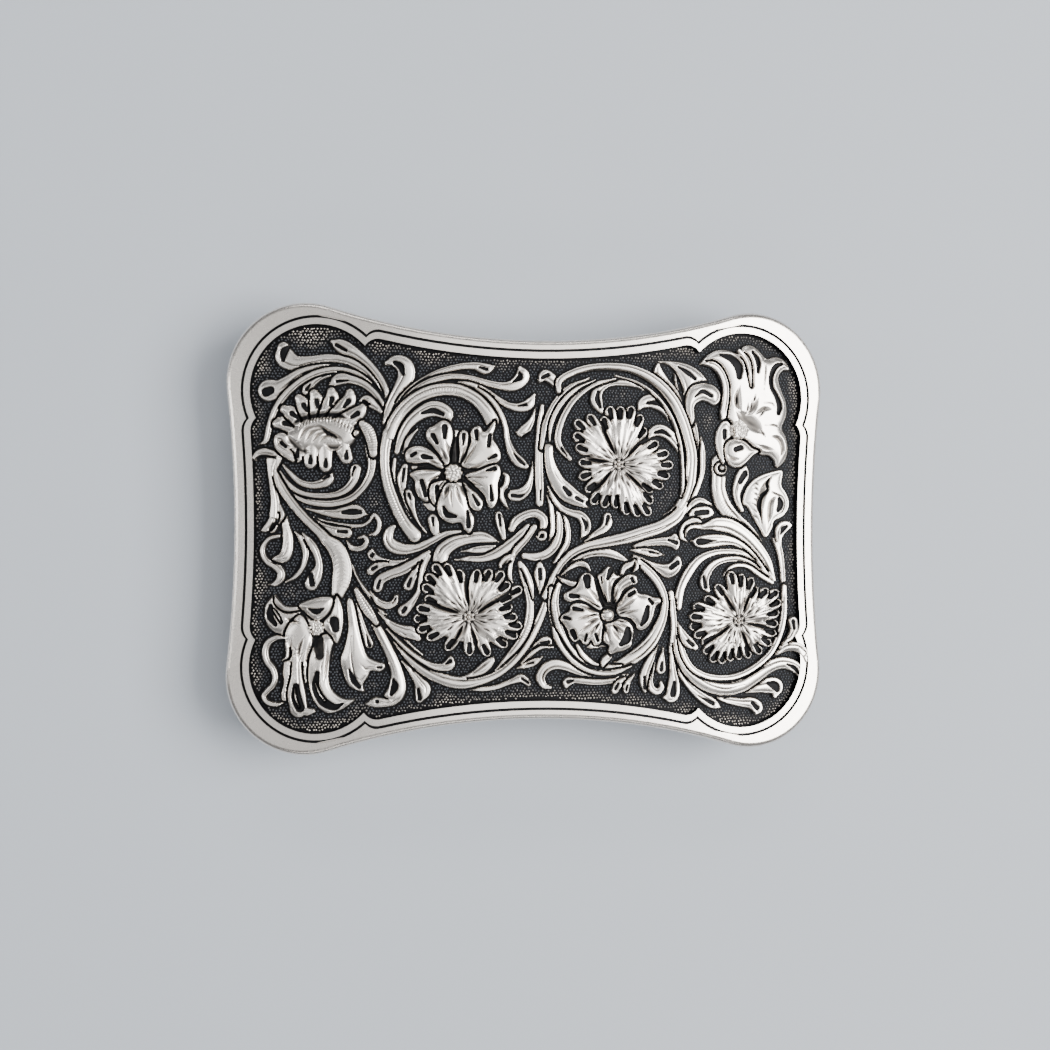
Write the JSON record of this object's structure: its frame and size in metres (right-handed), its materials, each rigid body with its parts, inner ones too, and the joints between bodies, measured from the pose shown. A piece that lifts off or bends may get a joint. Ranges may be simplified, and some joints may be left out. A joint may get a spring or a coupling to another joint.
{
  "type": "plate belt buckle",
  "caption": "Curved Western plate belt buckle with a sunk ornament field, a lined border, a hinged wire bail and a belt hook.",
  "frame": {"origin": "under the middle of the plate, on the plane that the saddle's ears, the bail's bar and the hook rest on when the buckle lies face up", "axes": "+X along the belt towards the hook end, +Y up the wearer, +Z out of the front face"},
  "size_m": [0.09, 0.066, 0.0141],
  "materials": {
    "plate_silver": "silver plate, antiqued in the sunk field and polished on the border",
    "saddle_steel": "nickel plated, satin",
    "screw_steel": "nickel plated, satin",
    "pin_steel": "ground",
    "bail_steel": "nickel plated, bright",
    "hook_steel": "nickel plated, bright"
  },
  "bodies": {
    "plate": {"face_plate": "plate_silver", "hinge_saddle": "saddle_steel", "saddle_screw_upper": "screw_steel", "saddle_screw_lower": "screw_steel", "hinge_pin": "pin_steel", "hook_washer": "hook_steel", "hook_post": "hook_steel"},
    "bail": {"bail_frame": "bail_steel"}
  },
  "joints": [
    {"name": "bail_hinge", "type": "hinge", "parent": "plate", "child": "bail", "pos_m": [-0.022, 0, 0.0039], "axis": [0, -1, 0], "range_deg": [-20, 185]}
  ]
}
